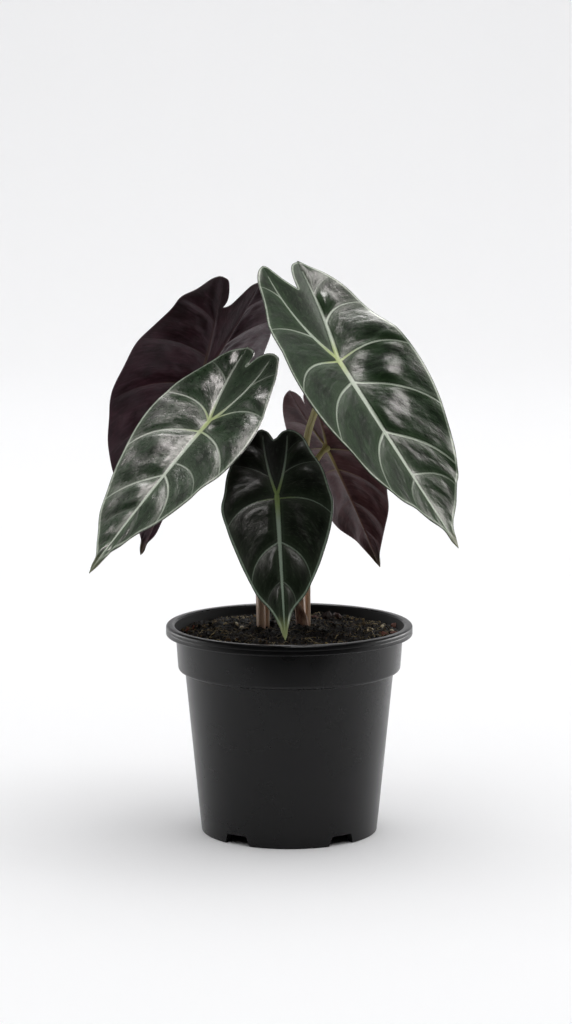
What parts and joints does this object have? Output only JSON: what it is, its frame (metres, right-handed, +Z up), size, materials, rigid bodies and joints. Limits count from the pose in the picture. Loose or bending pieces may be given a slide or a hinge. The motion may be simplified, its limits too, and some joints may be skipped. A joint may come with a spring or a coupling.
{
  "type": "potted alocasia chantrieri",
  "caption": "Potted foliage plant: lobed, drooping arrowhead leaves on slim petioles, rooted in soil in a round tapered nursery pot with a rim and drain notches.",
  "frame": {"origin": "centre of the pot's flat underside, on the surface it stands on", "axes": "+Z up through the middle of the pot, -Y toward the viewer of the picture, +X to the viewer's right"},
  "size_m": [0.171, 0.1895, 0.2764],
  "materials": {
    "pot_plastic": "black satin injection-moulded plastic",
    "soil": "dark crumbly peat soil with bark and fibre",
    "blade_green": "glossy dark green upper face with silvery veins, purple underside",
    "blade_dark": "glossy blackish green upper face with silvery veins, purple underside",
    "blade_purple": "satin maroon purple underside toward the viewer, dark green upper face",
    "petiole": "satin olive stalk, pinkish brown at its foot"
  },
  "bodies": {
    "root": {"pot": "pot_plastic", "soil": "soil", "petiole_right_front": "petiole", "petiole_left_front": "petiole", "petiole_front": "petiole", "petiole_left_back": "petiole", "petiole_right_back": "petiole", "blade_right_front": "blade_green", "blade_left_front": "blade_green", "blade_front": "blade_dark", "blade_left_back": "blade_purple", "blade_right_back": "blade_purple"}
  },
  "joints": []
}
